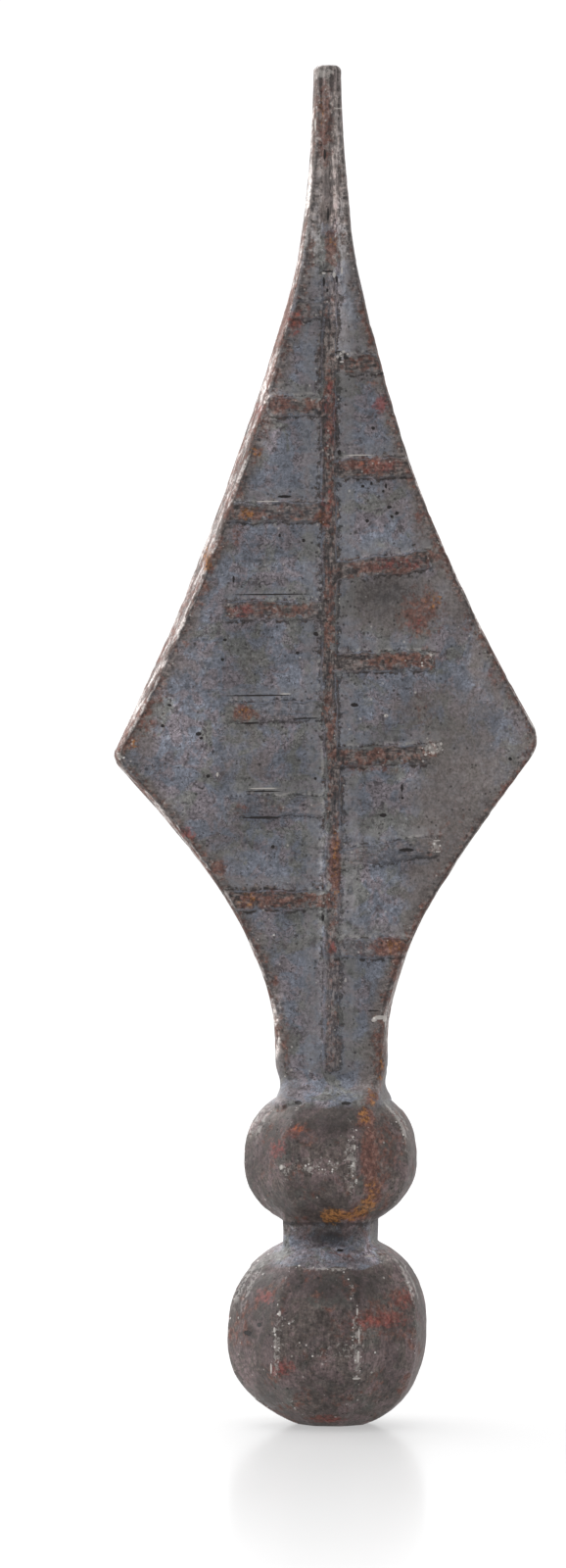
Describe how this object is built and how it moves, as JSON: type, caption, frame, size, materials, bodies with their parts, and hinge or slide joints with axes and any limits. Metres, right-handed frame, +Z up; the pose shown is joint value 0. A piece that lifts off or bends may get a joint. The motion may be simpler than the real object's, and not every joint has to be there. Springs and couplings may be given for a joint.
{
  "type": "fence finial",
  "caption": "Cast-iron fence finial: a flat leaf-shaped spear blade with raised vein and side bars, on faceted knops with a square neck and a flat underside to weld to a picket.",
  "frame": {"origin": "middle of the flat underside of the large knop", "axes": "+Z up towards the tip; the blade lies in the XZ plane and its front face looks towards -Y"},
  "size_m": [0.0508, 0.0242, 0.16],
  "materials": {
    "grey_iron": "blue-grey scale over rough iron, with brown and orange rust on the raised vein, the bars and the edges"
  },
  "bodies": {
    "root": {"spear_finial": "grey_iron"}
  },
  "joints": []
}
